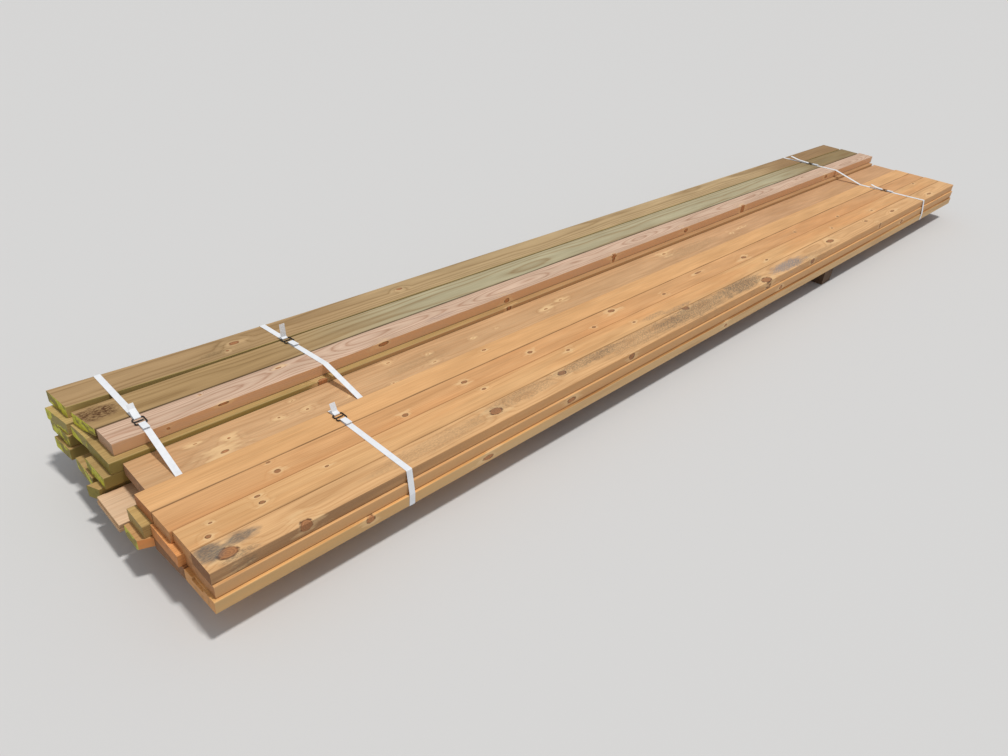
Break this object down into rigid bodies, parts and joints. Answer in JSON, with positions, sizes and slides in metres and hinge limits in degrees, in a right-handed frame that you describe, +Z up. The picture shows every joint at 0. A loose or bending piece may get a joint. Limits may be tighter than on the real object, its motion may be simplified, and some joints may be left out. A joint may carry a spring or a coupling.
{
  "type": "lumber stack",
  "caption": "Stack of long boards in two strapped bundles, one tan and one treated, side by side on square timber bearers",
  "frame": {"origin": "centre of the stack's box, on the ground under the bearers", "axes": "+X along the boards to the far end, +Y across to the treated bundle, +Z up"},
  "size_m": [4.961, 0.8991, 0.2936],
  "materials": {
    "tan": "planed softwood, warm tan to orange",
    "treated": "pressure treated softwood, olive brown with green end paint",
    "pink": "planed softwood, pinkish grey",
    "bearer": "weathered dark timber",
    "strap": "white woven strapping",
    "wire": "black coated steel wire"
  },
  "bodies": {
    "root": {"bearer_far": "bearer", "bearer_near": "bearer", "inner_boards": "tan", "pink_top_board": "pink", "tan_bottom_board_1": "tan", "tan_bottom_board_2": "tan", "tan_bottom_board_3": "treated", "tan_buckle_far": "wire", "tan_buckle_near": "wire", "tan_middle_board_1": "tan", "tan_middle_board_2": "tan", "tan_middle_board_3": "treated", "tan_strap_far": "strap", "tan_strap_near": "strap", "tan_top_board_1": "tan", "tan_top_board_2": "tan", "tan_top_board_3": "tan", "tan_top_board_4": "tan", "thin_board_lower": "tan", "thin_board_upper": "tan", "treated_bottom_board_1": "treated", "treated_bottom_board_2": "treated", "treated_bottom_board_3": "treated", "treated_buckle_far": "wire", "treated_buckle_near": "wire", "treated_buckle_second": "wire", "treated_lower_board_1": "treated", "treated_lower_board_2": "treated", "treated_strap_far": "strap", "treated_strap_near": "strap", "treated_strap_second": "strap", "treated_top_board_1": "treated", "treated_top_board_2": "treated", "treated_upper_board_1": "treated", "treated_upper_board_2": "treated", "treated_upper_board_3": "treated", "wide_tan_board": "tan"}
  },
  "joints": []
}
